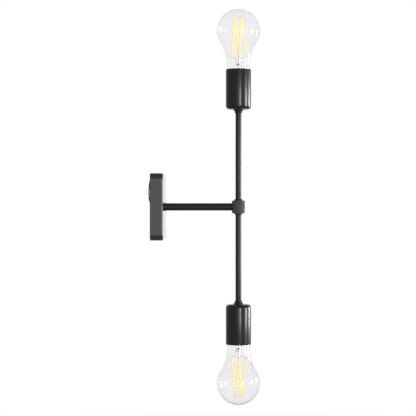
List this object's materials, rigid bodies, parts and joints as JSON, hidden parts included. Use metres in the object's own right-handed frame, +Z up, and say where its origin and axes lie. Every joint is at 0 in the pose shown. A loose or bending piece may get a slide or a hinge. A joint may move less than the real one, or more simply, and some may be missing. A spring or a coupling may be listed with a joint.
{
  "type": "wall sconce",
  "caption": "Two-light wall sconce: square wall plate, straight arm, and an upright bar with a socket cup and filament lamp at each end, which turns at a knurled barrel.",
  "frame": {"origin": "centre of the two wall screws, on the wall face, on the arm's axis", "axes": "+X out of the wall along the arm, +Z up along the bar, +Y to the right for someone who faces the wall"},
  "size_m": [0.1512, 0.09, 0.5388],
  "materials": {
    "black_paint": "satin",
    "black_gloss": "gloss",
    "knurled_black": "satin",
    "zinc_steel": "satin",
    "brass": "satin",
    "terminal_plastic": "matte",
    "lampholder_plastic": "matte",
    "black_lead": "gloss",
    "white_lead": "gloss",
    "green_lead": "gloss",
    "friction_fibre": "matte",
    "cap_nickel": "satin",
    "cap_insulator": "gloss",
    "lamp_glass": "gloss",
    "phosphor": "matte",
    "circuit_board": "matte"
  },
  "bodies": {
    "fixture": {"wall_bracket": "zinc_steel", "canopy": "black_paint", "canopy_screw": "black_paint", "earth_screw": "brass", "terminal_block": "terminal_plastic", "terminal_tubes": "brass", "terminal_screws": "zinc_steel", "live_leads": "black_lead", "neutral_leads": "white_lead", "earth_lead": "green_lead", "arm_tube": "black_paint", "arm_ring": "black_paint", "arm_washer": "zinc_steel", "arm_nut": "zinc_steel", "arm_end_bush": "brass"},
    "light_bar": {"pivot_sleeve": "zinc_steel", "friction_washer": "friction_fibre", "hub_barrel": "knurled_black", "upper_lock_ring": "black_paint", "upper_rod": "black_paint", "upper_leads": "black_lead", "upper_collar": "black_paint", "upper_cup": "black_gloss", "upper_cup_nut": "zinc_steel", "upper_lampholder_base": "lampholder_plastic", "upper_lampholder_body": "lampholder_plastic", "upper_screw_shell": "brass", "upper_centre_contact": "brass", "upper_terminals": "brass", "lower_lock_ring": "black_paint", "lower_rod": "black_paint", "lower_leads": "black_lead", "lower_collar": "black_paint", "lower_cup": "black_gloss", "lower_cup_nut": "zinc_steel", "lower_lampholder_base": "lampholder_plastic", "lower_lampholder_body": "lampholder_plastic", "lower_screw_shell": "brass", "lower_centre_contact": "brass", "lower_terminals": "brass"},
    "upper_lamp_foot": {"upper_bulb_tip": "cap_nickel", "upper_bulb_insulator": "cap_insulator"},
    "lower_lamp_foot": {"lower_bulb_tip": "cap_nickel", "lower_bulb_insulator": "cap_insulator"},
    "upper_bulb": {"upper_bulb_glass": "lamp_glass", "upper_bulb_cap": "cap_nickel", "upper_bulb_stem": "lamp_glass", "upper_bulb_filaments": "phosphor", "upper_bulb_wires": "cap_nickel", "upper_bulb_driver": "circuit_board"},
    "lower_bulb": {"lower_bulb_glass": "lamp_glass", "lower_bulb_cap": "cap_nickel", "lower_bulb_stem": "lamp_glass", "lower_bulb_filaments": "phosphor", "lower_bulb_wires": "cap_nickel", "lower_bulb_driver": "circuit_board"}
  },
  "joints": [
    {"name": "hub_swivel", "type": "hinge", "parent": "fixture", "child": "light_bar", "pos_m": [0.118, 0, 0], "axis": [1, 0, 0], "range_deg": [-150, 150]},
    {"name": "upper_bulb_travel", "type": "slide", "parent": "light_bar", "child": "upper_lamp_foot", "axis": [0, 0, 1], "range_m": [0, 0.01452]},
    {"name": "upper_bulb_turn", "type": "hinge", "parent": "upper_lamp_foot", "child": "upper_bulb", "pos_m": [0.118, 0, 0.18], "axis": [0, 0, 1], "range_deg": [0, 1440]},
    {"name": "lower_bulb_travel", "type": "slide", "parent": "light_bar", "child": "lower_lamp_foot", "axis": [0, 0, -1], "range_m": [0, 0.01452]},
    {"name": "lower_bulb_turn", "type": "hinge", "parent": "lower_lamp_foot", "child": "lower_bulb", "pos_m": [0.118, 0, -0.18], "axis": [0, 0, -1], "range_deg": [0, 1440]}
  ],
  "couplings": [
    {"joint": "upper_bulb_travel", "follows": "upper_bulb_turn", "m_per_rad": 0.00057757},
    {"joint": "lower_bulb_travel", "follows": "lower_bulb_turn", "m_per_rad": 0.00057757}
  ]
}
